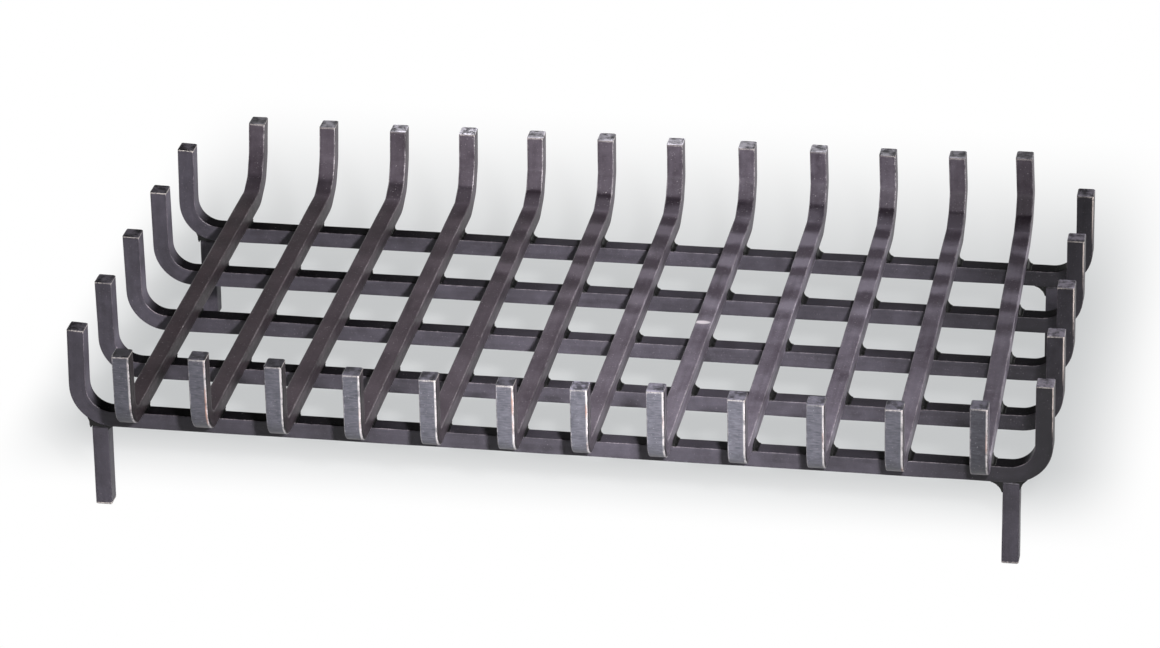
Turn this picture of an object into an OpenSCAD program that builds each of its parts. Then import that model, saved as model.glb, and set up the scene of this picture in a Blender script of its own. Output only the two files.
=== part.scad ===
// Welded fireplace log grate made of solid square bar.
// Twelve fire bars run from front to back on top of five cross bars. Every bar is
// bent up into a tine at both ends, and four short legs carry the front and rear
// cross bars. Millimetres, +Z up, the open front towards -Y. The origin lies on the
// hearth, below the middle of the overall width and depth.

/* [Bar] */
// Width and thickness of the square bar
bar = 17.5; // [12:0.5:20]
// Radius on the long edges of the bar
edge_radius = 1.2; // [0.6:0.1:2]
// Chamfer round the sawn end of each tine
end_chamfer = 1; // [0.4:0.2:2]

/* [Fire bars] */
// Spacing of the fire bars, centre to centre
fire_pitch = 75.5; // [60:0.5:90]
// Height of a front tine above the underside of its fire bar
front_tine = 81; // [58:1:110]
// Height of a rear tine above the underside of its fire bar
rear_tine = 84; // [76:1:120]
// Inside radius of the front bend
front_bend = 12; // [10:1:18]
// Inside radius of the rear bend
rear_bend = 39; // [30:1:44]

/* [Cross bars] */
// Spacing of the cross bars, centre to centre
cross_pitch = 104; // [80:1:130]
// Height of a side tine above the underside of its cross bar
side_tine = 107; // [75:1:140]
// Inside radius of the bends at both ends of a cross bar
side_bend = 24; // [18:1:28]
// From the outer face of the left side tine to the middle of the first fire bar
left_end = 67; // [58:0.5:80]
// From the middle of the last fire bar to the outer face of the right side tine
right_end = 70.5; // [58:0.5:85]
// From the front tine's outer face to the middle of the front cross bar
front_overhang = 50.5; // [43:0.5:70]
// From the middle of the rear cross bar to the rear tine's outer face
rear_overhang = 91.5; // [73:0.5:110]

/* [Legs] */
// Length of a leg below its cross bar
leg_length = 89; // [50:1:150]
// From the outer face of the left side tine to the outer face of a left leg
left_leg_inset = 18; // [14:1:30]
// From the outer face of the right side tine to the outer face of a right leg
right_leg_inset = 31; // [14:1:34]

/* [Welds] */
// Size of the weld beside a fire bar on top of a cross bar
crossing_weld = 6; // [3:0.5:8]
// Size of the weld on the inner side of a left leg
left_inner_weld = 6; // [4:0.5:12]
// Size of the weld on the outer side of a left leg
left_outer_weld = 2; // [1:0.5:9]
// Size of the weld on the inner side of a right leg
right_inner_weld = 11; // [4:0.5:12]
// Size of the weld on the outer side of a right leg
right_outer_weld = 7; // [1:0.5:9]
// How far a leg's weld stays back from the front and rear faces of the bar
weld_setback = 1; // [0.5:0.25:3]

/* [Hidden] */
$fn = 48;
// Facets of the round cuts that shape the small welds of the legs
fine = 240;
fire_count = 12;
cross_count = 5;

steel = "#4f4850";
bead = "#5f5a60";
half = bar / 2;

// Overall sizes
cross_length = left_end + (fire_count - 1) * fire_pitch + right_end;
fire_length = front_overhang + (cross_count - 1) * cross_pitch + rear_overhang;

// Levels of the stack
cross_under = leg_length;
cross_top = cross_under + bar;

// Middles of the fire bars from the left and of the cross bars from the front
fire_x = [for (i = [0:fire_count - 1]) left_end + i * fire_pitch - cross_length / 2];
cross_y = [for (j = [0:cross_count - 1]) front_overhang + j * cross_pitch - fire_length / 2];
left_leg_x = left_leg_inset + half - cross_length / 2;
right_leg_x = cross_length / 2 - right_leg_inset - half;

// A weld's face is hollow: the middle of its circle lies this many chords off it
hollow = 0.75;
flat_hollow = 3;
// The weld above a leg ends where the bend has come down to this distance
least_gap = 0.3;

// Height of a cross bar's underside at a distance x inside its outer face
function bend_rise(x) = let (r = side_bend + bar) x < r ? r - sqrt(r * r - pow(r - x, 2)) : 0;

// Cross section of the rolled bar
module section() {
    flat = bar - 2 * edge_radius;
    square([bar, flat], center = true);
    square([flat, bar], center = true);
    for (sx = [-1, 1])
        for (sy = [-1, 1])
            translate([sx * flat / 2, sy * flat / 2]) circle(r = edge_radius);
}

// Straight stretch of bar along X, starting at the origin
module straight(length) {
    rotate([0, 90, 0]) linear_extrude(length) section();
}

// Quarter bend of bar about the Y axis, from the given angle on, inside radius r
module bend(r, start) {
    rotate([90, 0, 0]) rotate([0, 0, start])
        rotate_extrude(angle = 90) translate([r + half, 0]) section();
}

// Side view of an upright stretch of bar whose end has its edges broken
module broken_end(height) {
    flat = half - end_chamfer;
    polygon([[-half, 0], [half, 0], [half, height - end_chamfer], [flat, height],
             [-flat, height], [-half, height - end_chamfer]]);
}

// Upright stretch of bar at the end of a bend, from the origin up to its sawn end
module tine(height) {
    intersection() {
        linear_extrude(height) section();
        rotate([90, 0, 0]) translate([0, 0, -half]) linear_extrude(bar) broken_end(height);
        rotate([90, 0, 90]) translate([0, 0, -half]) linear_extrude(bar) broken_end(height);
    }
}

// Bar along X with both ends bent up: its underside at Z = 0, its outer faces at
// X = 0 and X = length, its tines a and b high, its bends of inside radius ra and rb
module bent_bar(length, a, b, ra, rb) {
    translate([ra + bar, 0, half]) straight(length - ra - rb - 2 * bar);
    translate([ra + bar, 0, ra + bar]) bend(ra, 180);
    translate([length - rb - bar, 0, rb + bar]) bend(rb, 270);
    translate([half, 0, ra + bar]) tine(a - ra - bar);
    translate([length - half, 0, rb + bar]) tine(b - rb - bar);
}

module fire_bar(i) {
    color(steel) translate([fire_x[i], -fire_length / 2, cross_top]) rotate([0, 0, 90])
        bent_bar(fire_length, front_tine, rear_tine, front_bend, rear_bend);
}

module cross_bar(j) {
    color(steel) translate([-cross_length / 2, cross_y[j], cross_under])
        bent_bar(cross_length, side_tine, side_tine, side_bend, side_bend);
}

module leg(x, j) {
    color(steel) translate([x, cross_y[j], 0]) linear_extrude(leg_length) section();
}

// Weld in the corner between the right face of a fire bar and the top of a cross
// bar. It turns down a little behind the cross bar, where it rounds the corner.
// X = 0 is the fire bar's face, Y = 0 the cross bar's middle, Z = 0 its top.
module crossing_bead() {
    s = crossing_weld;
    off = s * (0.5 + hollow);
    r = norm([off - s, off]);
    drop = s / 2;
    intersection() {
        difference() {
            translate([-edge_radius, -half, -drop]) cube([edge_radius + s, bar + s, drop + s]);
            translate([-half, -bar, half]) rotate([0, 0, 90]) straight(3 * bar);
            translate([-bar, 0, -half]) straight(3 * bar);
            translate([off, -bar, off]) rotate([-90, 0, 0]) cylinder(r = r, h = 3 * bar);
            translate([off, half + off, -bar]) cylinder(r = r, h = 2 * bar);
        }
        union() {
            translate([-bar, s - half, -bar]) cube([2 * bar, 2 * bar, 2 * bar]);
            translate([0, s - half, -bar]) cylinder(r = s, h = 2 * bar);
        }
    }
}

module crossing_welds(j) {
    color(bead) for (x = fire_x)
        translate([x + half, cross_y[j], cross_top]) crossing_bead();
}

// Circle that hollows a weld's face, through the toes p and q, its middle off to the
// right of the way from p to q by the given number of chords
module hollow_face(p, q, chords) {
    way = q - p;
    middle = (p + q) / 2 + [way[1], -way[0]] * chords;
    translate(middle) circle(r = norm(p - middle), $fn = fine);
}

// Outline of the welds of a leg, seen from the front: X = 0 is the outer face of
// the side tine, Y = 0 the underside of the cross bar, and the leg is below
module leg_weld_outline(inset, inner, outer) {
    r = side_bend + bar;
    wedge_end = max(inset + half, r - sqrt(2 * r * least_gap));
    outer_toe = [inset - outer, bend_rise(inset - outer)];
    inner_face = inset + bar;
    inner_toe = [inner_face + inner, bend_rise(inner_face + inner)];
    difference() {
        union() {
            translate([inset, 0]) square([wedge_end - inset, bend_rise(inset)]);
            translate([outer_toe[0], -outer]) square([outer + edge_radius, outer + outer_toe[1]]);
            translate([inner_face - edge_radius, -inner])
                square([inner + edge_radius, inner + bend_rise(inner_face)]);
        }
        translate([inset, -2 * bar]) square([bar, 2 * bar]);
        translate([r, r]) circle(r = r, $fn = fine);
        hollow_face(outer_toe, [inset, -outer], flat_hollow);
        hollow_face([inner_face, -inner], inner_toe, hollow);
    }
}

// side is 1 at the left legs and -1 at the right legs
module leg_weld(side, j, inset, inner, outer) {
    depth = bar - 2 * weld_setback;
    color(bead) translate([-side * cross_length / 2, cross_y[j] + depth / 2, cross_under])
        mirror([side < 0 ? 1 : 0, 0, 0]) rotate([90, 0, 0])
            linear_extrude(depth) leg_weld_outline(inset, inner, outer);
}

module left_leg_weld(j) leg_weld(1, j, left_leg_inset, left_inner_weld, left_outer_weld);
module right_leg_weld(j) leg_weld(-1, j, right_leg_inset, right_inner_weld, right_outer_weld);

fire_bar(0);  // fire_bar_01
fire_bar(1);  // fire_bar_02
fire_bar(2);  // fire_bar_03
fire_bar(3);  // fire_bar_04
fire_bar(4);  // fire_bar_05
fire_bar(5);  // fire_bar_06
fire_bar(6);  // fire_bar_07
fire_bar(7);  // fire_bar_08
fire_bar(8);  // fire_bar_09
fire_bar(9);  // fire_bar_10
fire_bar(10);  // fire_bar_11
fire_bar(11);  // fire_bar_12
cross_bar(0);  // cross_bar_1_front
cross_bar(1);  // cross_bar_2
cross_bar(2);  // cross_bar_3
cross_bar(3);  // cross_bar_4
cross_bar(4);  // cross_bar_5_rear
leg(left_leg_x, 0);  // leg_front_left
leg(right_leg_x, 0);  // leg_front_right
leg(left_leg_x, 4);  // leg_rear_left
leg(right_leg_x, 4);  // leg_rear_right
crossing_welds(0);  // crossing_welds_1
crossing_welds(1);  // crossing_welds_2
crossing_welds(2);  // crossing_welds_3
crossing_welds(3);  // crossing_welds_4
crossing_welds(4);  // crossing_welds_5
left_leg_weld(0);  // leg_weld_front_left
right_leg_weld(0);  // leg_weld_front_right
left_leg_weld(4);  // leg_weld_rear_left
right_leg_weld(4);  // leg_weld_rear_right
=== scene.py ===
import math
from types import SimpleNamespace

import bmesh
import bpy
from mathutils import Matrix, Vector


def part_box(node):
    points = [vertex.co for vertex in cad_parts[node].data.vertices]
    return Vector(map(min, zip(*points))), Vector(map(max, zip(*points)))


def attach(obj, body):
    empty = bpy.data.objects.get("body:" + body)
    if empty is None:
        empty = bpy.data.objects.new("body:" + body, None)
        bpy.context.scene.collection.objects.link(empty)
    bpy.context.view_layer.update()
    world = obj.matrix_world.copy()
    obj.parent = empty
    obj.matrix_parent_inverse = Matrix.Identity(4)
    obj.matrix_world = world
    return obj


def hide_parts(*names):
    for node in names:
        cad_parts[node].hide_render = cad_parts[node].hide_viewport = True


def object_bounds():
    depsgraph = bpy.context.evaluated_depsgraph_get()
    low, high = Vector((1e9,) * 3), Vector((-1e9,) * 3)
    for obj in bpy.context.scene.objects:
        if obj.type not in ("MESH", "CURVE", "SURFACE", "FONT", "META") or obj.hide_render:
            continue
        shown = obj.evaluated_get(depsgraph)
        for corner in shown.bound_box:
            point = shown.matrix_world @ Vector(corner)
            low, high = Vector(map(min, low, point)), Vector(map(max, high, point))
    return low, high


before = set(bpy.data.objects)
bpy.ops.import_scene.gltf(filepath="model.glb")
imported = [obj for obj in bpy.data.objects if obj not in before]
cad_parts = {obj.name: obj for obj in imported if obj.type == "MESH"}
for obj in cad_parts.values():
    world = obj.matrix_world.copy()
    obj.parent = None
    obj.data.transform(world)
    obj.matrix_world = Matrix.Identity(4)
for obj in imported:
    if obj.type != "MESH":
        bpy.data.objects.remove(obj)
cad_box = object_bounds()

# A welded log grate: twelve fire bars on five cross bars, all of 17.5 mm square bar bent up
# into tines at both ends, with four short legs. Metres, in the frame of the CAD model.

MM = 0.001

FIRE_BARS = [f"fire_bar_{i:02d}" for i in range(1, 13)]
CROSS_BARS = ["cross_bar_1_front", "cross_bar_2", "cross_bar_3", "cross_bar_4", "cross_bar_5_rear"]
LEGS = ["leg_front_left", "leg_front_right", "leg_rear_left", "leg_rear_right"]

# The bar stock and how it is bent and cut
BAR = 17.5 * MM
HALF = BAR / 2
LEG_BAR = 16.8 * MM
EDGE_RADIUS = 1.2 * MM
END_CHAMFER = 1 * MM
EDGE_FACETS = 4
FRONT_TINE = 81 * MM
REAR_TINE = 84 * MM
REAR_BEND = 39 * MM
SIDE_BEND = 24 * MM
# How far the rear tines stay inside their solids' rear faces, and the side tines below their
# solids' tops
REAR_INSET = 0.5 * MM
SIDE_TOP_INSET = 0.3 * MM
# How finely the sweep steps along a bar, how deep its hollows and the waves of the press are,
# and how far apart the waves are, in mm
RING_SPACING = 3 * MM
DENT_DEPTH = 0.4 * MM
PRESS_DEPTH = 0.3 * MM
PRESS_SPACING = 50
# The first bars, on the left, were straightened less
FEWER_WAVES = 4

# Where the welder's bars sit off their even spacing, read off the photograph in mm. The last
# fire bar is set askew: its front end stands to the right and its rear end to the left.
FRONT_SHIFT = (-0.5, 0.7, 1, 2.6, 2.3, 2.5, -1, -2.5, 0, 0, -0.7, 4)
REAR_SHIFT = (-2, 0.5, 2.4, 2.4, 1, 1.5, 0.5, 1.7, 2.2, 0, -2.2, -7.5)
# How much longer or shorter than planned each tine was cut, in mm
FRONT_EXTRA = (4, 6, 3, -1, -1, -2, -2, 1, -2.5, -3, -3, 3)
REAR_EXTRA = (1, 1, 0, 1, 1, 2, 1, 1, 1, 1, 2, 5)
# Inner radius of each front bend, in mm
FRONT_RADIUS = (12, 11, 7, 4, 3, 3, 6, 8, 5, 5, 9, 14)
# How far the tops of the tines lean to the right: of the front and rear tines at the middle of
# the grate, and how much more towards the left, and of the left tines above their middle, in mm
FRONT_LEAN = (1, 1)
REAR_LEAN = (0.6, 2.6)
LEFT_LEAN = (2.8, 1.4, 1, 1.4, 2.8)
LEFT_LEAN_FROM = 135 * MM
# The legs lean too, those on the left more
LEG_LEAN = {"left": 1.5 * MM, "right": 0.3 * MM}
# The rear bends were pressed in three strokes, each round its own small radius in mm
REAR_STROKES = 3
STROKE_RADIUS = (22, 24, 20, 14, 13, 18, 16, 22, 18, 14, 15, 13)
# Tone of each fire bar's scale, from browner and darker (0) to paler and greyer (1): partly the
# bar's own, partly a painted sheen, palest where the light fell strongest
FIRE_TONE = (0.0, 0.05, 0.1, 0.15, 0.25, 0.38, 0.58, 0.85, 1.0, 1.0, 0.95, 0.9)
# How bright the sawn ends of each fire bar are: partly their own, partly painted light, brightest
# where the light fell strongest
FRONT_END = (0.35, 0.7, 0.42, 0.9, 1, 0.85, 2.4, 1.75, 1.7, 1.7, 1.3, 1.3)
REAR_END = (0.3, 0.6, 1.15, 1.6, 1.1, 0.8, 1.3, 0.85, 1, 0.7, 0.65, 0.45)

# Welds, as in the CAD source: a leg's are the sizes of its inner and its outer bead
CROSSING_WELD = 6 * MM
LEFT_LEG_WELDS = (6 * MM, 2 * MM)
RIGHT_LEG_WELDS = (11 * MM, 7 * MM)
# The crossing welds' least and most fullness, and how much it grows for each fire bar to the
# right and for each cross bar to the rear
WELD_FULLNESS = (0.25, 0.85)
FULLER_RIGHT = 0.2
FULLER_REAR = 0.16
# How many chords off its face the middle of a hollow weld's circle lies, and the spacing of
# the ripples of the leg welds
HOLLOW = -0.75
RIPPLE = 3.2 * MM

# The light: the gloss that the ceiling gives and the dim light of the surround, against a
# white of 1
CEILING_GLOSS = 0.1
DIM_LIGHT = 0.04

# The finish. Satin scale shines less than clean steel does
SHINE = 0.3
# How pale the right faces of the fire bars are painted, a painted shade and sheen: at tone 0 and
# 1, and how much more on the last
PAINTED_SIDE_LIGHT = (0.7, 1.1, 1.8)
# A face is turned a way from the first of these cosines, and fully from the second
TURNED = (0.5, 0.85)
# Where the finish and the painted light change, from a start to an end. X of the middle, where the
# upper faces are painted palest, of the painted shade in the left half, of the last fire bar, of
# the right side tines and of their right edges
MIDDLE_X = 0.12
LEFT_SHADE_X = -0.25
LAST_FIRE_BAR = (0.37, 0.40)
RIGHT_TINES = (0.44, 0.465)
RIGHT_TINE_EDGE = (cad_box[1][0] - 1.8 * MM, cad_box[1][0] - 1.1 * MM)
# Y of the front tines' outer faces, of the front cross bar and of the rear bends
FRONT_TINES = (cad_box[0][1] + 17 * MM, cad_box[0][1] + 9 * MM)
FRONT_CROSS_BAR = (-0.15, -0.19)
REAR_BENDS = (0.18, 0.20)
# Z of the start of the fire bars' tines, of the painted shade of the undercut at the top of the
# legs and of the welds round it
TINES_FROM = (0.12, 0.14)
LEG_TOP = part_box(LEGS[0])[1].z
PAINTED_UNDERCUT_SHADE = (LEG_TOP - 2.2 * MM, LEG_TOP - 1.4 * MM)
LEG_WELDED = (LEG_TOP - 9 * MM, LEG_TOP - 4 * MM)
# The place and half sizes of a tack that was ground off the eighth fire bar
TACK = (0.1100, -0.009, 0.1235)
TACK_SIZE = (9 * MM, 4 * MM, 9 * MM)


def srgb(code):
    """Linear colour with alpha 1 from an sRGB hex code."""
    parts = [int(code[k:k + 2], 16) / 255 for k in (1, 3, 5)]
    linear = [c / 12.92 if c <= 0.04045 else ((c + 0.055) / 1.055) ** 2.4 for c in parts]
    return (*linear, 1.0)


def add(tree, kind, inputs=None, **settings):
    """One node with its settings, its input values and its links."""
    node = tree.nodes.new(kind)
    for name, value in settings.items():
        setattr(node, name, value)
    for key, value in (inputs or {}).items():
        socket = node.inputs[key]
        if isinstance(value, bpy.types.NodeSocket):
            tree.links.new(value, socket)
        else:
            socket.default_value = value
    return node


def share(tree, *parts, ease="LINEAR"):
    """All its parts multiplied. A part is a number, a socket, or a row: what it reads, start,
    end, and then its low value at the start and high value at the end, 0 and 1 if not given."""
    product = None
    for part in parts:
        if isinstance(part, tuple):
            reading, start, end, *ends = part
            low, high = ends or (0.0, 1.0)
            part = add(tree, "ShaderNodeMapRange", {"Value": reading, "From Min": start,
                                                    "From Max": end, "To Min": low,
                                                    "To Max": high},
                       interpolation_type=ease).outputs["Result"]
        if product is not None:
            part = add(tree, "ShaderNodeMath", {0: product, 1: part},
                       operation="MULTIPLY").outputs[0]
        product = part
    return product


def shaded(tree, colour, *parts, ease="LINEAR"):
    """The colour, darker or paler by the share that the parts give."""
    return add(tree, "ShaderNodeVectorMath", {0: colour, 3: share(tree, *parts, ease=ease)},
               operation="SCALE").outputs[0]


def painted(tree, colour, paint, *parts):
    """The paint over the colour, as thick as the share that the parts give."""
    return add(tree, "ShaderNodeMix", {0: share(tree, *parts), 6: colour, 7: paint},
               data_type="RGBA").outputs[2]


def new_material(name):
    """An empty material and its tree."""
    material = bpy.data.materials.new(name)
    material.use_nodes = True
    material.node_tree.nodes.clear()
    return material, material.node_tree


# ----------------------------------------
# Camera, floor and light
# ----------------------------------------

def place_camera():
    """The photograph's view: a long lens from the front, a little to the right and above."""
    azimuth, elevation, roll = (math.radians(a) for a in (11.687, 27.21, -2.1308))
    aim = Vector((-0.01772, 0.00065, 0.10869))
    distance = 4.7181
    back = Vector((math.sin(azimuth) * math.cos(elevation),
                   -math.cos(azimuth) * math.cos(elevation), math.sin(elevation)))
    right = (-back).cross(Vector((0, 0, 1))).normalized()
    up = right.cross(-back)
    right_rolled = right * math.cos(roll) + up * math.sin(roll)
    up_rolled = up * math.cos(roll) - right * math.sin(roll)
    lens = bpy.data.cameras.new("photo_lens")
    lens.sensor_width = 36
    lens.lens = 144.67
    lens.clip_end = 50
    camera = bpy.data.objects.new("photo_camera", lens)
    turn = Matrix((right_rolled, up_rolled, back)).transposed()
    camera.matrix_world = Matrix.Translation(aim + back * distance) @ turn.to_4x4()
    bpy.context.scene.collection.objects.link(camera)
    bpy.context.scene.camera = camera
    bpy.context.scene.view_settings.view_transform = "Standard"


def soft_box(name, place, aim, size, watts, spread=180):
    """A square soft box that shines from place towards aim, with a grid that narrows it."""
    lamp = bpy.data.lights.new(name, "AREA")
    lamp.shape = "SQUARE"
    lamp.size = size
    lamp.energy = watts
    lamp.spread = math.radians(spread)
    holder = bpy.data.objects.new(name, lamp)
    holder.location = place
    holder.rotation_euler = (Vector(aim) - Vector(place)).to_track_quat("-Z", "Y").to_euler()
    bpy.context.scene.collection.objects.link(holder)


def studio_world():
    """A white surround for the camera and the gloss, darker towards the ceiling, that gives
    the steel only a dim light of its own."""
    world = bpy.data.worlds.new("white_studio")
    world.use_nodes = True
    tree = world.node_tree
    tree.nodes.clear()
    way = add(tree, "ShaderNodeTexCoord").outputs["Generated"]
    height = add(tree, "ShaderNodeSeparateXYZ", {0: way}).outputs["Z"]
    gloss = share(tree, (height, 0.05, 0.4, 1.0, CEILING_GLOSS), ease="SMOOTHSTEP")
    path = add(tree, "ShaderNodeLightPath").outputs
    bright = add(tree, "ShaderNodeMix", {0: path["Is Glossy Ray"], 2: DIM_LIGHT, 3: gloss},
                 data_type="FLOAT")
    bright = add(tree, "ShaderNodeMath", {0: path["Is Camera Ray"], 1: bright.outputs[0]},
                 operation="MAXIMUM")
    light = add(tree, "ShaderNodeBackground", {"Color": srgb("#ffffff"),
                                               "Strength": bright.outputs[0]})
    add(tree, "ShaderNodeOutputWorld", {"Surface": light.outputs[0]})
    bpy.context.scene.world = world


def pale_floor():
    """A pale studio floor with a painted soft shadow: light grey under the grate and fading to
    white around it. It glows for the camera and the gloss, and enough of it stays matt to take the
    grate's shadow."""
    size = 8.0
    mesh = bpy.data.meshes.new("studio_floor")
    mesh.from_pydata([(-size, -size, 0), (size, -size, 0), (size, size, 0), (-size, size, 0)],
                     [], [(0, 1, 2, 3)])
    floor = bpy.data.objects.new("studio_floor", mesh)
    bpy.context.scene.collection.objects.link(floor)
    material, tree = new_material("matt_pale_studio_floor")
    place = add(tree, "ShaderNodeTexCoord").outputs["Object"]
    place = add(tree, "ShaderNodeSeparateXYZ", {0: place}).outputs
    # The painted shadow: full under the grate, short fades at the sides and in front, long behind
    painted_shadow = share(tree, (place["X"], -0.62, -0.50), (place["X"], 0.57, 0.44),
                  (place["Y"], -0.21, -0.03), (place["Y"], 0.76, 0.26), ease="SMOOTHSTEP")
    colour = painted(tree, srgb("#ffffff"), srgb("#d0d2d3"), painted_shadow)
    matt = add(tree, "ShaderNodeBsdfDiffuse", {"Color": srgb("#b4b6b7")})
    glow = add(tree, "ShaderNodeEmission", {"Color": colour, "Strength": 1.0})
    path = add(tree, "ShaderNodeLightPath").outputs
    seen = add(tree, "ShaderNodeMath", {0: path["Is Camera Ray"], 1: path["Is Glossy Ray"]},
               operation="MAXIMUM").outputs[0]
    both = add(tree, "ShaderNodeMixShader", {0: share(tree, seen, (painted_shadow, 0.0, 1.0, 1.0, 0.85)),
                                             1: matt.outputs[0], 2: glow.outputs[0]})
    add(tree, "ShaderNodeOutputMaterial", {"Surface": both.outputs[0]})
    mesh.materials.append(material)


# ----------------------------------------
# Steel
# ----------------------------------------

def read_bar(tree):
    """What the steel reads off its bar: where a point is and which way it faces, what the sweep
    stored, and the patterns of the scale."""
    coordinates = add(tree, "ShaderNodeTexCoord").outputs
    run = add(tree, "ShaderNodeAttribute", attribute_name="run").outputs["Vector"]
    bar = SimpleNamespace(place=coordinates["Object"])
    for name, vector in (("spot", bar.place), ("facing", coordinates["Normal"]),
                         ("across", run)):
        setattr(bar, name, add(tree, "ShaderNodeSeparateXYZ", {0: vector}).outputs)
    for name in ("tip", "tone", "press", "end_tone"):
        setattr(bar, name, add(tree, "ShaderNodeAttribute", attribute_name=name).outputs["Fac"])
    # Clouds about 45 mm across, mottling of 8 mm, grain of 1.5 mm, and streaks left by the
    # rolls, 90 mm long and 3.5 mm wide
    drawn = add(tree, "ShaderNodeVectorMath", {0: run, 1: (1 / 90, 1 / 3.5, 1 / 3.5)},
                operation="MULTIPLY").outputs[0]
    for name, vector, scale, detail, roughness in (
            ("cloud", bar.place, 1 / (45 * MM), 3.0, 0.5),
            ("mottle", bar.place, 1 / (8 * MM), 3.0, 0.6),
            ("grain", bar.place, 1 / (1.5 * MM), 2.0, 0.6),
            ("streak", drawn, 1.0, 2.0, 0.5)):
        noise = add(tree, "ShaderNodeTexNoise", {"Vector": vector, "Scale": scale,
                                                 "Detail": detail, "Roughness": roughness})
        setattr(bar, name, noise.outputs["Fac"])
    return bar


def edge_distance(tree, bar):
    """Distance in mm to the nearest edge of the bar: the middle one of the distances to its
    nearer side, its other side and its end."""
    inside = []
    for axis in ("Y", "Z"):
        size = add(tree, "ShaderNodeMath", {0: bar.across[axis]}, operation="ABSOLUTE")
        inside.append(add(tree, "ShaderNodeMath", {0: HALF / MM, 1: size.outputs[0]},
                          operation="SUBTRACT").outputs[0])
    near, far = [add(tree, "ShaderNodeMath", {0: inside[0], 1: inside[1]},
                     operation=pick).outputs[0] for pick in ("MINIMUM", "MAXIMUM")]
    far = add(tree, "ShaderNodeMath", {0: far, 1: bar.tip}, operation="MINIMUM").outputs[0]
    return add(tree, "ShaderNodeMath", {0: near, 1: far}, operation="MAXIMUM").outputs[0]


def clouded_scale(tree, bar, brown, grey, press):
    """the press dies where the bar was straightened, partly their marks and partly a painted sheen
    of their waves, at the bar's tone, which is partly painted light."""
    bands = share(tree, bar.press, (bar.cloud, 0.36, 0.6, 0.4, 1.7))
    clouds = 0.0
    for part, weight in ((bar.cloud, 0.46), (bar.mottle, 0.24), (bar.grain, 0.13),
                         (bar.streak, 0.17), (bands, press)):
        clouds = add(tree, "ShaderNodeMath", {0: part, 1: weight, 2: clouds},
                     operation="MULTIPLY_ADD").outputs[0]
    light = share(tree, (clouds, 0.36, 0.64))
    shades = [painted(tree, srgb(dark), srgb(pale), light) for dark, pale in (brown, grey)]
    return painted(tree, *shades, bar.tone)


def painted_shade_and_rubs(tree, bar, colour, top):
    """Cross bars and welds: painted shade on their upper faces and right ends, a painted sheen on
    the side tines' inner faces, and a pale line that is partly rubbed steel and partly a painted
    highlight.
    """
    x = bar.spot["X"]
    away = []
    for line in (MIDDLE_X, LEFT_SHADE_X):
        off = add(tree, "ShaderNodeMath", {0: x, 1: line}, operation="SUBTRACT")
        away.append(add(tree, "ShaderNodeMath", {0: off.outputs[0]},
                        operation="ABSOLUTE").outputs[0])
    from_middle, from_left_shade = away
    # Painted shade: the upper faces are painted darker, least in the middle
    scale = share(tree, (from_middle, 0.08, 0.42, *top), ease="SMOOTHSTEP")
    upward = share(tree, (bar.facing["Z"], *TURNED, 1.0, scale))
    colour = shaded(tree, colour, upward)
    # Painted shade: the bars' right ends darker where the side tines' shadows fall, the left half
    # a little, and the front right tine most
    colour = shaded(tree, colour, (x, 0.30, 0.44, 1.0, 0.42), ease="SMOOTHSTEP")
    tine = share(tree, (x, *RIGHT_TINES), (bar.spot["Y"], *FRONT_CROSS_BAR))
    colour = shaded(tree, colour, (from_left_shade, 0.12, 0.24, 0.75, 1.0),
                    (tine, 0.0, 1.0, 1.0, 0.6))
    # The inner faces of the side tines are painted paler: a painted sheen
    inner = share(tree, bar.facing["X"], x)
    inner = share(tree, (inner, -0.2, -0.4), (bar.spot["Z"], 0.115, 0.13))
    colour = shaded(tree, colour, (inner, 0.0, 1.0, 1.0, 2.2))
    # The right side tines carry a pale line on their front faces' right edges: partly rubbed
    # steel, partly a painted highlight
    colour = painted(tree, colour, srgb("#cdbfb9"), (x, *RIGHT_TINE_EDGE),
                     (bar.facing["Y"], -0.3, -0.7), (bar.spot["Z"], 0.14, 0.17),
                     (bar.mottle, 0.32, 0.48, 0.35, 0.95))
    return colour, share(tree, upward, SHINE)


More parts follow.
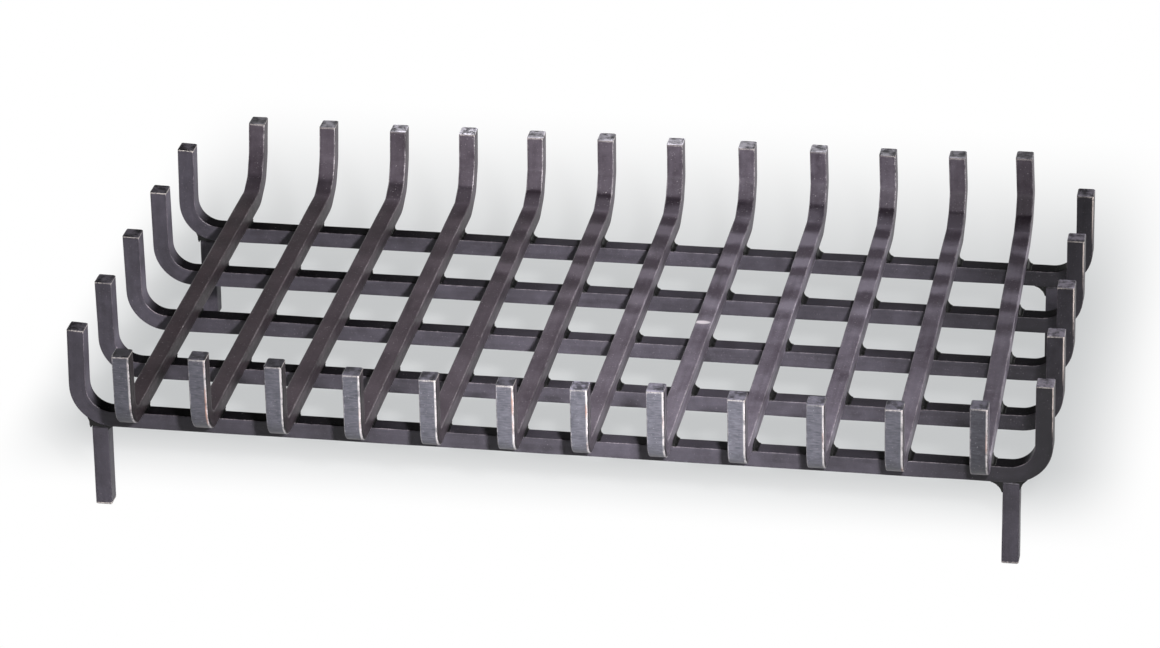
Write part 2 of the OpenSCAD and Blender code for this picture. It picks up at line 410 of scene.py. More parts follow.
def fire_bar_faces(tree, bar, colour, ground, worn):
    """Fire bars: painted light and shade on their right faces, dull rear bends painted darker, and
    ground front tines with painted shade and a partly painted highlight.
    """
    x, y, z = (bar.spot[axis] for axis in "XYZ")
    # Painted shade and sheen: the right faces darker at the left of the grate and paler at the
    # right, streaked like the scale
    right = share(tree, (bar.facing["X"], *TURNED))
    side = shaded(tree, colour, (bar.tone, 0.0, 1.0, *PAINTED_SIDE_LIGHT[:2]),
                  (x, *LAST_FIRE_BAR, 1.0, PAINTED_SIDE_LIGHT[2]), (bar.streak, 0.35, 0.65, 0.6, 1.4))
    colour = painted(tree, colour, side, right)
    # The press left duller scale in the rear bends; they are also painted darker, the more so the
    # more a facet faces up: a painted shade
    bend = share(tree, bar.facing["Z"], bar.facing["Y"])
    bend = share(tree, (bend, -0.1, -0.45), (y, *REAR_BENDS))
    shine = share(tree, (bend, 0.0, 1.0, SHINE, 0.2 * SHINE))
    low = share(tree, bend, (bar.facing["Z"], 0.55, 0.85, 0.22, 0.52))
    colour = shaded(tree, colour, (low, 0.0, 1.0, 1.0, 0.0))
    # The outer faces of the front tines were ground: paler and bluer, with scratches across
    # them 8 mm long. They are drawn 1.6 mm apart, coarser than real, so that they show
    near = share(tree, (y, *FRONT_TINES))
    front = share(tree, near, (bar.facing["Y"], -0.35, -0.75))
    crossed = add(tree, "ShaderNodeVectorMath", {0: bar.place, 1: (1 / (8 * MM), 1 / (8 * MM),
                                                                   1 / (1.6 * MM))},
                  operation="MULTIPLY").outputs[0]
    scratch = add(tree, "ShaderNodeTexNoise", {"Vector": crossed, "Scale": 1.0, "Detail": 2.0,
                                               "Roughness": 0.6}).outputs["Fac"]
    scratched = -0.35
    for part, weight in ((scratch, 1.1), (bar.mottle, 0.6)):
        scratched = add(tree, "ShaderNodeMath", {0: part, 1: weight, 2: scratched},
                        operation="MULTIPLY_ADD").outputs[0]
    bright = painted(tree, srgb(ground[0]), srgb(ground[1]), scratched)
    # Painted shade: darker on the right, somewhat in the left half, and on the last bar
    bright = shaded(tree, bright, (x, 0.2, 0.42, 1.0, 0.6), (x, -0.15, 0.15, 0.78, 1.0),
                    (x, 0.38, 0.41, 1.0, 0.72))
    colour = painted(tree, colour, bright, front)
    # A bright line along their right edges, cream to copper, partly ground steel and partly a
    # painted highlight, and a dark line of scale beside it on the right face
    line = painted(tree, srgb("#999596"), srgb("#8f6e62"), (bar.cloud, 0.55, 0.64))
    colour = painted(tree, colour, line, front, (bar.across["Y"], 6.3, 7.0),
                     (bar.mottle, 0.36, 0.5, 0.3, 1.0))
    colour = painted(tree, colour, srgb("#0c0a0c"), right, near, (bar.across["Z"], 2.8, 4.2))
    # A pale strip across the eighth bar, where a tack was ground off
    strip = bar.place
    for change, kind in ((TACK, "SUBTRACT"), (TACK_SIZE, "DIVIDE")):
        strip = add(tree, "ShaderNodeVectorMath", {0: strip, 1: change},
                    operation=kind).outputs[0]
    strip = add(tree, "ShaderNodeVectorMath", {0: strip}, operation="LENGTH").outputs["Value"]
    colour = painted(tree, colour, srgb(worn), (strip, 1.0, 0.7, 0.0, 0.6))
    # The tines' edges are rubbed bright, those of the flat parts less, least at the left; the
    # bright edges are partly wear and partly a painted highlight
    rub_share = share(tree, (bar.tone, 0.0, 1.0, 0.12, 0.32))
    for other in (share(tree, (z, *TINES_FROM, 0.0, 0.55)), share(tree, near, 0.7)):
        rub_share = add(tree, "ShaderNodeMath", {0: rub_share, 1: other},
                        operation="MAXIMUM").outputs[0]
    return colour, shine, rub_share


def rubbed_and_highlit_edges(tree, bar, colour, worn, wear, rub_share):
    """Bare steel where the edge is nearer than a ragged 0.3 to 1.5 mm, most on the right and round
    the sawn ends, broken up by nicks. Partly wear and partly a painted highlight: the right edges
    are paler where the light caught them."""
    at_end = share(tree, (bar.tip, 3.0, 0.8))
    ragged = edge_distance(tree, bar)
    for part, weight in ((bar.mottle, -2.2 * wear), (at_end, -1.1)):
        ragged = add(tree, "ShaderNodeMath", {0: part, 1: weight, 2: ragged},
                     operation="MULTIPLY_ADD").outputs[0]
    rub = share(tree, (ragged, -1.0 * wear, 0.25, 1.0, 0.0), ease="SMOOTHSTEP")
    rub = share(tree, rub, (bar.cloud, 0.35, 0.6, 0.2, 1.0),
                (bar.facing["X"], -0.3, 0.5, 0.55, 1.0), rub_share,
                (bar.grain, 0.38, 0.52, 0.25, 1.0))
    bare = painted(tree, srgb(worn), srgb("#d6cdc8"), at_end)
    return painted(tree, colour, bare, rub), rub


def rolled_bar_steel(name, brown, grey, worn, wear, ends, top=None, press=0.0, ground=None,
                     welded=False):
    """Hot-rolled square bar under its thin scale, brushed and oiled: satin and a little purple,
    clouded by the rolls, with the edges rubbed towards bare steel and partly painted as
    highlights. Brown and grey are the dark and light of the scale at tone 0 and 1, ends those of
    the sawn ends, from left to right or front to rear, a painted light, and wear is how far the
    edges are rubbed. Top is how pale the upper faces are painted in the middle and away from it, a
    painted shade, and ground is the dark and light of ground faces."""
    material, tree = new_material(name)
    bar = read_bar(tree)
    if ground:
        # The rear bends and tines differ less than the flat parts
        rear = share(tree, (bar.spot["Y"], 0.2, 0.25, 0.0, 0.65))
        even = share(tree, (bar.spot["X"], 0.2, 0.38, 0.5, 0.1))
        bar.tone = add(tree, "ShaderNodeMix", {0: rear, 2: bar.tone, 3: even},
                       data_type="FLOAT").outputs[0]
    colour = clouded_scale(tree, bar, brown, grey, press)
    shine = SHINE
    rub_share = 1.0
    if top:
        colour, shine = painted_shade_and_rubs(tree, bar, colour, top)
    if welded:
        # Painted shade marks the undercut round the top of a leg, and its edges there are under
        # the weld
        colour = shaded(tree, colour, (bar.spot["Z"], *PAINTED_UNDERCUT_SHADE, 1.0, 0.25))
        rub_share = share(tree, (bar.spot["Z"], *LEG_WELDED, 1.0, 0.0))
    if ground:
        colour, shine, rub_share = fire_bar_faces(tree, bar, colour, ground, worn)
    colour, rub = rubbed_and_highlit_edges(tree, bar, colour, worn, wear, rub_share)
    # The sawn ends: mottled bare grey, painted brighter to the right on cross bars, legs and welds
    # and to the rear on fire bars: painted light
    row = bar.spot["Y" if ground else "X"]
    end = painted(tree, srgb(ends[0]), srgb(ends[1]), (row, -0.2, 0.2))
    end = shaded(tree, end, bar.end_tone, (bar.mottle, 0.38, 0.6, 0.25, 1.35))
    colour = painted(tree, colour, end, (bar.tip, 0.02, 0.1, 1.0, 0.0))
    # Small nicks on the faces
    colour = painted(tree, colour, srgb(worn), (bar.grain, 0.67, 0.76, 0.0, 0.4))
    # Satin, smoother where it is rubbed
    satin = share(tree, (bar.mottle, 0.3, 0.7, 0.42, 0.55))
    satin = add(tree, "ShaderNodeMath", {0: rub, 1: -0.12, 2: satin}, operation="MULTIPLY_ADD")
    height = add(tree, "ShaderNodeMath", {0: bar.grain, 1: 0.4, 2: bar.mottle},
                 operation="MULTIPLY_ADD")
    bump = add(tree, "ShaderNodeBump", {"Height": height.outputs[0], "Strength": 0.25,
                                        "Distance": 0.25 * MM})
    steel = add(tree, "ShaderNodeBsdfPrincipled", {"Base Color": colour,
                                                   "Metallic": share(tree, rub, 0.5),
                                                   "Specular IOR Level": shine,
                                                   "Roughness": satin.outputs[0],
                                                   "Normal": bump.outputs[0]})
    add(tree, "ShaderNodeOutputMaterial", {"Surface": steel.outputs[0]})
    return material


# ----------------------------------------
# Bars
# ----------------------------------------

def new_grower(name, result, inputs):
    """An empty tree of geometry nodes with named inputs, listed by their kinds, and the sockets
    that they are read from."""
    tree = bpy.data.node_groups.new(name, "GeometryNodeTree")
    for kind, labels in inputs.items():
        for label in labels:
            tree.interface.new_socket(label, in_out="INPUT", socket_type=f"NodeSocket{kind}")
    tree.interface.new_socket(result, in_out="OUTPUT", socket_type="NodeSocketGeometry")
    return tree, add(tree, "NodeGroupInput").outputs


def bent_bar_tree():
    """Sweeps a rounded square along a bent path, breaks its sawn ends and roughens its faces.
    The mesh keeps for the steel "run" (length along the bar and place in its section, in mm),
    "tip" (the distance to the nearer end, in mm), "press" (the waves of the press) and the two
    tones of the bar and of its sawn ends."""
    tree, given = new_grower("bent_square_bar", "Bar mesh", {
        "Geometry": ["Path"],
        "Float": ["Bar", "Edge radius", "Chamfer", "Ring spacing", "Dent depth", "Press waves",
                  "Tone", "Front end", "Rear end"],
        "Vector": ["Across"], "Int": ["Seed"], "Material": ["Steel"]})

    # The path, with a round bend at each corner
    bend = add(tree, "GeometryNodeInputNamedAttribute", {"Name": "bend"}, data_type="FLOAT")
    path = add(tree, "GeometryNodeMeshToCurve", {"Mesh": given["Path"]})
    path = add(tree, "GeometryNodeFilletCurve", {"Curve": path.outputs[0], "Count": 24,
                                                 "Radius": bend.outputs[0]}, mode="POLY")
    path = add(tree, "GeometryNodeResampleCurve", {"Curve": path.outputs[0],
                                                   "Length": given["Ring spacing"]},
               mode="LENGTH")
    path = add(tree, "GeometryNodeSetCurveNormal", {"Curve": path.outputs[0],
                                                    "Normal": given["Across"]}, mode="FREE")
    along = add(tree, "GeometryNodeSplineParameter").outputs["Length"]
    whole = add(tree, "GeometryNodeSplineLength").outputs["Length"]
    rest = add(tree, "ShaderNodeMath", {0: whole, 1: along}, operation="SUBTRACT").outputs[0]
    nearer = add(tree, "ShaderNodeMath", {0: along, 1: rest}, operation="MINIMUM").outputs[0]
    for name, distance in (("tip", nearer), ("length", along)):
        path = add(tree, "GeometryNodeStoreNamedAttribute", {
            "Geometry": path.outputs[0], "Name": name, "Value": share(tree, distance, 1 / MM)})

    # The rolled section, with enough points for flat faces between its round edges
    section = add(tree, "GeometryNodeCurvePrimitiveQuadrilateral", {"Width": given["Bar"],
                                                                    "Height": given["Bar"]})
    section = add(tree, "GeometryNodeFilletCurve", {"Curve": section.outputs[0],
                                                    "Count": EDGE_FACETS,
                                                    "Radius": given["Edge radius"]},
                  mode="POLY")
    index = add(tree, "GeometryNodeInputIndex").outputs[0]
    corner = add(tree, "ShaderNodeMath", {0: index, 1: EDGE_FACETS + 1.0},
                 operation="MODULO").outputs[0]
    last = add(tree, "ShaderNodeMath", {0: corner, 1: EDGE_FACETS - 0.5},
               operation="GREATER_THAN").outputs[0]
    section = add(tree, "GeometryNodeSubdivideCurve", {"Curve": section.outputs[0],
                                                       "Cuts": share(tree, last, 5.0)})
    where = add(tree, "GeometryNodeInputPosition").outputs[0]
    in_mm = add(tree, "ShaderNodeVectorMath", {0: where, 3: 1 / MM}, operation="SCALE")
    section = add(tree, "GeometryNodeStoreNamedAttribute", {"Geometry": section.outputs[0],
                                                            "Name": "across",
                                                            "Value": in_mm.outputs[0]},
                  data_type="FLOAT_VECTOR")
    bar = add(tree, "GeometryNodeCurveToMesh", {"Curve": path.outputs[0],
                                                "Profile Curve": section.outputs[0],
                                                "Fill Caps": True})

    # Sawn ends, the only faces with more than four corners: a small chamfer, then a narrow rim
    # that keeps the end face flat
    corners = add(tree, "GeometryNodeInputMeshFaceNeighbors").outputs["Vertex Count"]
    cap = add(tree, "FunctionNodeCompare", {"A": corners, "B": 4.5},
              data_type="FLOAT", operation="GREATER_THAN")
    chamfer = add(tree, "GeometryNodeExtrudeMesh", {"Mesh": bar.outputs[0],
                                                    "Selection": cap.outputs[0],
                                                    "Offset Scale": given["Chamfer"],
                                                    "Individual": False},
                  mode="FACES").outputs
    part = add(tree, "ShaderNodeMath", {0: share(tree, given["Chamfer"], 2.0),
                                        1: given["Bar"]}, operation="DIVIDE").outputs[0]
    shrink = add(tree, "ShaderNodeMath", {0: 1.0, 1: part}, operation="SUBTRACT").outputs[0]
    ends = add(tree, "GeometryNodeScaleElements", {"Geometry": chamfer["Mesh"],
                                                   "Selection": chamfer["Top"],
                                                   "Scale": shrink})
    rim = add(tree, "GeometryNodeExtrudeMesh", {"Mesh": ends.outputs[0],
                                                "Selection": chamfer["Top"],
                                                "Offset Scale": 0.0,
                                                "Individual": False}, mode="FACES").outputs
    narrow = 0.8
    ends = add(tree, "GeometryNodeScaleElements", {"Geometry": rim["Mesh"],
                                                   "Selection": rim["Top"],
                                                   "Scale": narrow})
    across = add(tree, "GeometryNodeInputNamedAttribute", {"Name": "across"},
                 data_type="FLOAT_VECTOR").outputs[0]
    inner = add(tree, "ShaderNodeVectorMath", {0: across, 3: narrow}, operation="SCALE")
    ends = add(tree, "GeometryNodeStoreNamedAttribute", {"Geometry": ends.outputs[0],
                                                         "Selection": rim["Top"],
                                                         "Name": "across",
                                                         "Value": inner.outputs[0]},
               data_type="FLOAT_VECTOR")

    # Length along the bar with the place in the section, and the tone of the end that is nearer:
    # the front end before 200 mm, the rear end after 300 mm
    across = add(tree, "ShaderNodeSeparateXYZ", {0: across}).outputs
    length = add(tree, "GeometryNodeInputNamedAttribute", {"Name": "length"},
                 data_type="FLOAT").outputs[0]
    run = add(tree, "ShaderNodeCombineXYZ", {"X": length, "Y": across["X"], "Z": across["Y"]})
    end_tone = share(tree, (length, 200.0, 300.0, given["Front end"], given["Rear end"]))

    # Shallow hollows from rolling and bending, never proud of the bar
    offset = add(tree, "ShaderNodeVectorMath", {0: (3.7, 1.3, 2.9), 3: given["Seed"]},
                 operation="SCALE")
    moved = add(tree, "ShaderNodeVectorMath", {0: where, 1: offset.outputs[0]},
                operation="ADD")
    dents = add(tree, "ShaderNodeTexNoise", {"Vector": moved.outputs[0],
                                             "Scale": 1 / (60 * MM), "Detail": 2.0,
                                             "Roughness": 0.4})
    dents = share(tree, (dents.outputs["Fac"], 0.25, 0.75, -1.0, 0.0))
    deep = share(tree, dents, given["Dent depth"])
    # Straightening in the press leaves shallow waves 50 mm apart on top, towards the rear
    outward = add(tree, "GeometryNodeInputNormal").outputs[0]
    upward = add(tree, "ShaderNodeSeparateXYZ", {0: outward}).outputs["Z"]
    rearward = add(tree, "ShaderNodeSeparateXYZ", {0: where}).outputs["Y"]
    behind = share(tree, (rearward, -0.06, 0.12), ease="SMOOTHSTEP")
    turns = share(tree, length, 2 * math.pi / PRESS_SPACING)
    warp = add(tree, "ShaderNodeMath", {0: dents, 1: 2.2, 2: turns}, operation="MULTIPLY_ADD")
    wave = add(tree, "ShaderNodeMath", {0: warp.outputs[0]}, operation="SINE").outputs[0]
    press = share(tree, wave, behind, (upward, 0.45, 0.85), given["Press waves"])

    # What the steel reads is stored before the faces move
    for name, value, kind in (("run", run.outputs[0], "FLOAT_VECTOR"),
                              ("tone", given["Tone"], "FLOAT"),
                              ("end_tone", end_tone, "FLOAT"), ("press", press, "FLOAT")):
        ends = add(tree, "GeometryNodeStoreNamedAttribute", {
            "Geometry": ends.outputs[0], "Name": name, "Value": value}, data_type=kind)
    inward = add(tree, "ShaderNodeMath", {0: press, 1: 0.0}, operation="MINIMUM").outputs[0]
    lift = add(tree, "ShaderNodeMath", {0: inward, 1: PRESS_DEPTH, 2: deep},
               operation="MULTIPLY_ADD").outputs[0]
    push = add(tree, "ShaderNodeVectorMath", {0: outward, 3: lift}, operation="SCALE")
    shaped = add(tree, "GeometryNodeSetPosition", {"Geometry": ends.outputs[0],
                                                   "Offset": push.outputs[0]})

    # Smooth along the bar, flat on its sawn ends
    tip = add(tree, "GeometryNodeInputNamedAttribute", {"Name": "tip"}, data_type="FLOAT")
    side = add(tree, "ShaderNodeMath", {0: tip.outputs[0], 1: 0.1}, operation="GREATER_THAN")
    smooth = add(tree, "GeometryNodeSetShadeSmooth", {"Geometry": shaped.outputs[0],
                                                      "Shade Smooth": side.outputs[0]})
    plain = add(tree, "GeometryNodeRealizeInstances", {"Geometry": smooth.outputs[0]})
    done = add(tree, "GeometryNodeSetMaterial", {"Geometry": plain.outputs[0],
                                                 "Material": given["Steel"]})
    add(tree, "NodeGroupOutput", {0: done.outputs[0]})
    return tree


def grown(piece, tree, **inputs):
    """Grows a piece with a tree of nodes, and leaves it as a plain mesh."""
    modifier = piece.modifiers.new("grow", "NODES")
    modifier.node_group = tree
    for item in tree.interface.items_tree:
        key = item.name.lower().replace(" ", "_")
        if item.in_out == "INPUT" and key in inputs:
            modifier[item.identifier] = inputs[key]
    bpy.context.scene.collection.objects.link(piece)
    graph = bpy.context.evaluated_depsgraph_get()
    mesh = bpy.data.meshes.new_from_object(piece.evaluated_get(graph))
    piece.modifiers.clear()
    piece.data = mesh
    return piece


def bar_piece(name, corners, bends, **inputs):
    """One bar through the given corners, with the given middle radius at each bend."""
    mesh = bpy.data.meshes.new(name)
    mesh.from_pydata(corners, [(k, k + 1) for k in range(len(corners) - 1)], [])
    bend = mesh.attributes.new("bend", "FLOAT", "POINT")
    bend.data.foreach_set("value", bends)
    piece = bpy.data.objects.new(name, mesh)
    sizes = {"bar": BAR, "edge_radius": EDGE_RADIUS, "chamfer": END_CHAMFER,
             "ring_spacing": RING_SPACING, "dent_depth": DENT_DEPTH, "press_waves": 0.0,
             "tone": 1.0, "front_end": 1.0, "rear_end": 1.0, "across": (1.0, 0.0, 0.0)}
    return grown(piece, BENT_BAR, **{**sizes, **inputs})


def dressed(piece, node):
    """The piece stands for its CAD node, which it hides, and joins the root body."""
    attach(piece, "root")
    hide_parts(node)


def fire_bars():
    """Twelve bars from front to back, each with its own small error of the hand."""
    radius = REAR_BEND + HALF
    for i, node in enumerate(FIRE_BARS):
        low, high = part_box(node)
        middle = (low.x + high.x) / 2
        front = middle + FRONT_SHIFT[i] * MM
        rear = middle + REAR_SHIFT[i] * MM
        left = -middle / cad_box[1][0]
        front_lean = (FRONT_LEAN[0] + left * FRONT_LEAN[1]) * MM
        rear_lean = (REAR_LEAN[0] + left * REAR_LEAN[1]) * MM
        axis = low.z + HALF
        back = high.y - HALF - REAR_INSET
        front_top = low.z + FRONT_TINE + FRONT_EXTRA[i] * MM - END_CHAMFER
        rear_top = low.z + REAR_TINE + REAR_EXTRA[i] * MM - END_CHAMFER
        corners = [(front + front_lean, low.y + HALF, front_top), (front, low.y + HALF, axis)]
        bends = [0, FRONT_RADIUS[i] * MM + HALF]
        stroke = math.pi / 2 / REAR_STROKES
        for k in range(REAR_STROKES):
            turn = stroke * (k + 0.5)
            reach = radius / math.cos(stroke / 2)
            corners.append((rear, back - radius + reach * math.sin(turn),
                            axis + radius - reach * math.cos(turn)))
            bends.append(STROKE_RADIUS[i] * MM)
        corners.append((rear + rear_lean, back, rear_top))
        bends.append(0)
        piece = bar_piece(f"square_fire_bar_{i + 1:02d}", corners, bends, seed=i + 1,
                          press_waves=0.3 if i < FEWER_WAVES else 1.0, tone=FIRE_TONE[i],
                          front_end=FRONT_END[i], rear_end=REAR_END[i], steel=FIRE_STEEL)
        dressed(piece, node)


def cross_bars():
    """Five bars from left to right, with taller tines."""
    for j, node in enumerate(CROSS_BARS):
        low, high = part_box(node)
        middle = (low.y + high.y) / 2
        top = high.z - END_CHAMFER - SIDE_TOP_INSET
        left = low.x + HALF
        right = high.x - HALF
        corners = [(left + LEFT_LEAN[j] * MM, middle, top), (left, middle, LEFT_LEAN_FROM),
                   (left, middle, low.z + HALF), (right, middle, low.z + HALF),
                   (right, middle, top)]
        # The left tine starts to lean in a very wide bend
        bends = [0, 4 * BAR, SIDE_BEND + HALF, SIDE_BEND + HALF, 0]
        piece = bar_piece(f"square_cross_bar_{j + 1}", corners, bends, seed=20 + j,
                          across=(0.0, 1.0, 0.0), steel=CROSS_STEEL)
        dressed(piece, node)


def legs():
    """Four straight legs, sawn square."""
    for k, node in enumerate(LEGS):
        low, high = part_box(node)
        middle = (low + high) / 2
        lean = LEG_LEAN[node.split("_")[-1]]
        # The lower corner of a leaning leg's foot still stands on the floor
        foot = low.z + END_CHAMFER + 0.2 * lean
        corners = [(middle.x - lean, middle.y, foot),
                   (middle.x + lean, middle.y, high.z - END_CHAMFER)]
        piece = bar_piece(f"square_{node}", corners, [0, 0], bar=LEG_BAR, seed=30 + k,
                          steel=LEG_STEEL)
        dressed(piece, node)


# ----------------------------------------
# Welds
# ----------------------------------------

def hollow_face(start, end, chords, count):
    """Points of a weld's hollow face from one toe to the other, in the weld's own plane. The
    middle of its circle lies the given number of chords off it, to the right of the way."""
    way = end - start
    middle = (start + end) / 2 + Vector((way.y, -way.x)) * chords
    spoke = start - middle
    whole = spoke.angle_signed(end - middle)
    return [middle + Matrix.Rotation(-whole * k / (count - 1), 2) @ spoke for k in range(count)]


def swept_bead(form, rings):
    """Adds a closed bead through rings of points, flat at both ends."""
    grid = [[form.verts.new(point) for point in ring] for ring in rings]
    faces = [form.faces.new(grid[0]), form.faces.new(grid[-1])]
    for one, two in zip(grid, grid[1:]):
        for k in range(len(one)):
            n = (k + 1) % len(one)
            faces.append(form.faces.new((one[k], one[n], two[n], two[k])))
    bmesh.ops.recalc_face_normals(form, faces=faces)
    for face in faces:
        face.smooth = len(face.verts) == 4


def bead_mesh(name, beads):
    """A mesh of several closed beads."""
    form = bmesh.new()
    for rings in beads:
        swept_bead(form, rings)
    mesh = bpy.data.meshes.new(name)
    form.to_mesh(mesh)
    form.free()
    return mesh


def crossing_bead():
    """One bead in the corner between a fire bar's right face and a cross bar's top, from the
    cross bar's front edge to its rear edge, where it turns down. Its ripples are 3 mm apart."""
    size = CROSSING_WELD
    root = 0.8 * MM
    front_gap = 0.6 * MM
    face = hollow_face(Vector((0, size)), Vector((size, 0)), HOLLOW, 6)
    rings = []

    def ring(part, place):
        outline = [point * part for point in face]
        outline += [Vector((size * part, -root)), Vector((-root, -root)),
                    Vector((-root, size * part))]
        rings.append([place(point.x, point.y) for point in outline])

    # Along the top of the cross bar, where the bead starts lean, round its rear edge, and a
    # little way down
    steps = 11
    for k in range(steps):
        y = -HALF + front_gap + (BAR - front_gap) * k / (steps - 1)
        part = min(1.0, 0.65 + 0.2 * k) * (1.0 + 0.05 * (-1) ** k)
        ring(part, lambda a, b: (a, y, b))
    for k in range(1, 6):
        turn = math.pi / 2 * k / 5
        part = 1.0 + 0.04 * (-1) ** k
        ring(part, lambda a, b: (a, HALF + b * math.sin(turn), b * math.cos(turn)))
    for drop, part in ((1.5 * MM, 0.96), (3 * MM, 0.8)):
        ring(part, lambda a, b: (a, HALF + b, -drop))
    return bpy.data.objects.new("crossing_bead", bead_mesh("crossing_bead", [rings]))


def crossing_weld_tree():
    """Sets a bead at every crossing along a cross bar, each a little fuller or leaner than the
    next, and roughens it."""
    tree, given = new_grower("crossing_welds", "Welds", {
        "Geometry": ["Crossings"], "Object": ["Bead"], "Int": ["Seed"],
        "Float": ["Least size", "Most size", "Roughness"], "Material": ["Steel"]})
    bead = add(tree, "GeometryNodeObjectInfo", {"Object": given["Bead"]})
    size = add(tree, "FunctionNodeRandomValue", {2: given["Least size"],
                                                 3: given["Most size"],
                                                 "Seed": given["Seed"]}, data_type="FLOAT")
    full = add(tree, "GeometryNodeInputNamedAttribute", {"Name": "fullness"},
               data_type="FLOAT")
    size = share(tree, size.outputs[1], full.outputs[0])
    scale = add(tree, "ShaderNodeCombineXYZ", {"X": size, "Y": 1.0, "Z": size})
    beads = add(tree, "GeometryNodeInstanceOnPoints", {"Points": given["Crossings"],
                                                       "Instance": bead.outputs["Geometry"],
                                                       "Scale": scale.outputs[0]})
    plain = add(tree, "GeometryNodeRealizeInstances", {"Geometry": beads.outputs[0]})
    uneven = add(tree, "ShaderNodeTexNoise", {"Scale": 1 / (4 * MM), "Detail": 2.0})
    lift = share(tree, (uneven.outputs["Fac"], 0.3, 0.7, -1.0, 0.6), given["Roughness"])
    outward = add(tree, "GeometryNodeInputNormal").outputs[0]
    push = add(tree, "ShaderNodeVectorMath", {0: outward, 3: lift}, operation="SCALE")
    rough = add(tree, "GeometryNodeSetPosition", {"Geometry": plain.outputs[0],
                                                  "Offset": push.outputs[0]})
    done = add(tree, "GeometryNodeSetMaterial", {"Geometry": rough.outputs[0],
                                                 "Material": given["Steel"]})
    add(tree, "NodeGroupOutput", {0: done.outputs[0]})
    return tree


def crossing_welds():
    """Twelve beads along each cross bar, each against its own fire bar. The welder laid them
    fuller towards the rear right."""
    template = crossing_bead()
    tree = crossing_weld_tree()
    for j, node in enumerate(CROSS_BARS):
        low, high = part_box(node)
        y = (low.y + high.y) / 2
        corners = []
        fullness = []
        for i, fire_node in enumerate(FIRE_BARS):
            fire_low, fire_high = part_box(fire_node)
            part = (y - fire_low.y) / (fire_high.y - fire_low.y)
            shift = FRONT_SHIFT[i] * (1 - part) + REAR_SHIFT[i] * part
            corners.append((fire_high.x + shift * MM, y, fire_low.z))
            grown_by = (i - 4.5) * FULLER_RIGHT + j * FULLER_REAR
            least, most = WELD_FULLNESS
            fullness.append(min(most, max(least, least + grown_by)))
        mesh = bpy.data.meshes.new(f"crossing_beads_{j + 1}")
        mesh.from_pydata(corners, [], [])
        full = mesh.attributes.new("fullness", "FLOAT", "POINT")
        full.data.foreach_set("value", fullness)
        piece = bpy.data.objects.new(f"crossing_beads_{j + 1}", mesh)
        grown(piece, tree, bead=template, least_size=0.8, most_size=1.08,
              roughness=0.25 * MM, seed=j, steel=WELD_STEEL)
        dressed(piece, f"crossing_welds_{j + 1}")
    bpy.data.objects.remove(template)


def bend_rise(inset):
    """Height of a cross bar's underside at a distance inside its outer face."""
    radius = SIDE_BEND + BAR
    if inset >= radius:
        return 0.0
    return radius - math.sqrt(radius ** 2 - (radius - inset) ** 2)


def leg_beads(inset, inner, outer):
    """The welds of a left leg: the fillet on its inner side, the wedge between its top and the
    rising bend, and the nugget on its outer side. X runs inwards from the outer face of the
    side tine, Z up from the underside of the cross bar."""
    root = 1 * MM
    inner_face = inset + BAR
    inner_toe = Vector((inner_face + inner, bend_rise(inner_face + inner)))
    fillet = hollow_face(inner_toe, Vector((inner_face, -inner)), HOLLOW, 9)
    fillet += [Vector((inner_face - root, -inner)), Vector((inner_face - root, root)),
               Vector((inner_toe.x, inner_toe.y + root))]
    outer_toe = Vector((inset - outer, bend_rise(inset - outer)))
    nugget = hollow_face(Vector((inset, -outer)), outer_toe, 2 * HOLLOW, 7)
    nugget += [Vector((outer_toe.x, outer_toe.y + root)),
               Vector((inset + root, bend_rise(inset) + root)), Vector((inset + root, -outer))]
    proud = 0.3 * MM
    first = inset - proud
    last = min(inset + BAR, SIDE_BEND + BAR - 4 * MM)
    steps = 6
    wedge = [Vector((first, proud)), Vector((last, 0.1 * MM))]
    for k in range(steps + 1):
        x = last + (first - last) * k / steps
        wedge.append(Vector((x, bend_rise(x) + 0.5 * MM)))
    beads = []
    # Each outline with half its length, the depth of its ripples and the points on its open face
    for outline, reach, ripple, bare in ((fillet, HALF - 0.8 * MM, 0.2 * MM, 9),
                                         (nugget, HALF - 0.8 * MM, 0.25 * MM, 7),
                                         (wedge, HALF - 0.3 * MM, 0.0, 0)):
        centre = sum(outline, Vector((0, 0))) / len(outline)
        rings = []
        steps = 15
        for k in range(steps):
            y = -reach + 2 * reach * k / (steps - 1)
            swell = ripple * math.sin(2 * math.pi * y / RIPPLE)
            round_off = 0.4 * MM if k in (0, steps - 1) else 0.0
            ring = []
            for n, point in enumerate(outline):
                out = (point - centre).normalized() * (swell - round_off) if n < bare \
                    else Vector((0, 0))
                ring.append((point.x + out.x, y, point.y + out.y))
            rings.append(ring)
        beads.append(rings)
    return beads


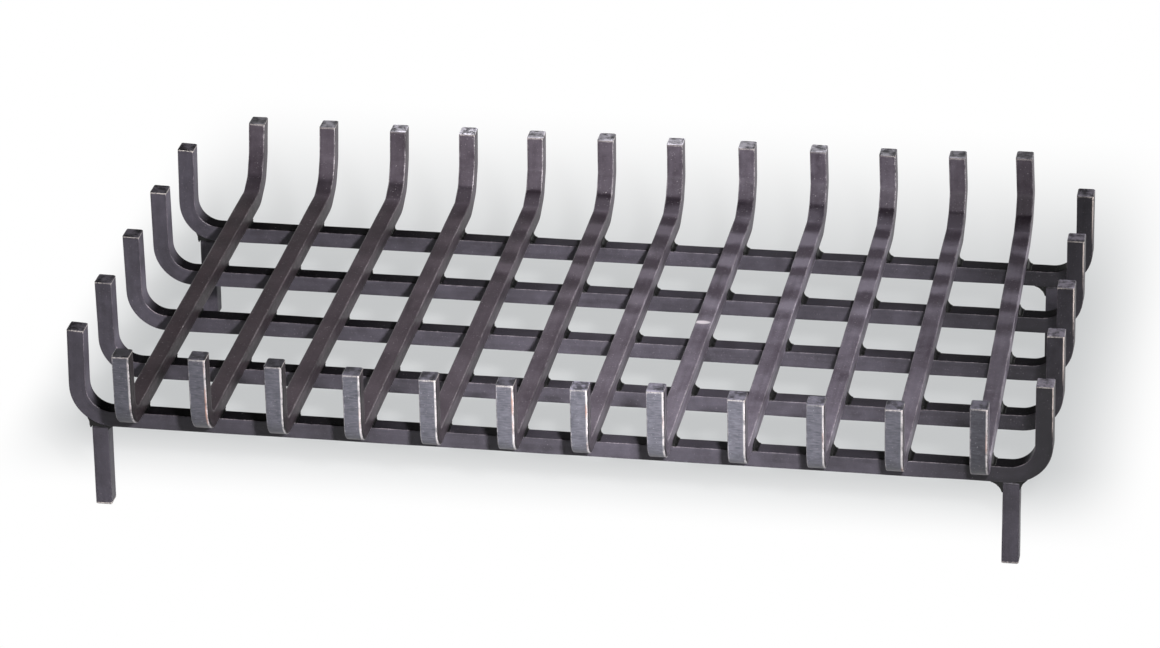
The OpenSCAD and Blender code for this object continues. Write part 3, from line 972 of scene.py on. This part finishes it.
def leg_welds():
    """The welds of each leg, mirrored for the right legs."""
    for leg in LEGS:
        node = leg.replace("leg_", "leg_weld_")
        low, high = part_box(leg)
        bar_low, bar_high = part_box(CROSS_BARS[0])
        left = leg.endswith("left")
        inset = low.x - bar_low.x if left else bar_high.x - high.x
        beads = leg_beads(inset, *(LEFT_LEG_WELDS if left else RIGHT_LEG_WELDS))
        middle = (low.y + high.y) / 2
        placed = [[[(bar_low.x + x if left else bar_high.x - x, middle + y, high.z + z)
                    for x, y, z in ring] for ring in rings] for rings in beads]
        mesh = bead_mesh(f"beads_{leg}", placed)
        mesh.materials.append(WELD_STEEL)
        piece = bpy.data.objects.new(f"beads_{leg}", mesh)
        bpy.context.scene.collection.objects.link(piece)
        dressed(piece, node)


place_camera()
studio_world()
pale_floor()
soft_box("key_soft_box", (0.78, -1.95, 1.42), (-0.10, 0, 0.1), 0.16, 6.9, 36)
soft_box("left_fill_box", (-1.63, -1.14, 1.03), (0, 0, 0.1), 0.6, 1.2)
soft_box("right_fill_box", (1.64, -0.87, 0.85), (0, 0, 0.1), 0.5, 7)
soft_box("right_rim_box", (1.90, 0.90, 0.60), (0, 0, 0.1), 0.6, 14)
soft_box("left_back_box", (-1.90, 1.30, 0.45), (0, 0, 0.1), 0.8, 22)

BROWN_SCALE = ("#231c20", "#332a2e")
GREY_SCALE = ("#3d363f", "#69636e")
PURPLE_SCALE = ("#2b282e", "#45414a")
# The welds' dark oxide, painted darker still as a painted shade
SHADED_WELD_SCALE = ("#232126", "#38353c")
FIRE_STEEL = rolled_bar_steel("hot_rolled_fire_bar_steel", BROWN_SCALE, GREY_SCALE, "#d3ccd0",
                              1.3, ("#45434b", "#97949c"), press=0.2,
                              ground=("#2b2b32", "#66656e"))
CROSS_STEEL = rolled_bar_steel("hot_rolled_cross_bar_steel", PURPLE_SCALE, PURPLE_SCALE,
                               "#8f868c", 0.6, ("#423f45", "#6b6770"), top=(0.7, 0.1))
LEG_STEEL = rolled_bar_steel("hot_rolled_leg_steel", PURPLE_SCALE, PURPLE_SCALE, "#7f767c",
                             0.6, ("#2b282e", "#4a464d"), welded=True)
WELD_STEEL = rolled_bar_steel("oxidised_weld_bead", SHADED_WELD_SCALE, SHADED_WELD_SCALE, "#8f868c", 0.0,
                              SHADED_WELD_SCALE, top=(0.6, 0.1))
BENT_BAR = bent_bar_tree()

fire_bars()
cross_bars()
legs()
crossing_welds()
leg_welds()
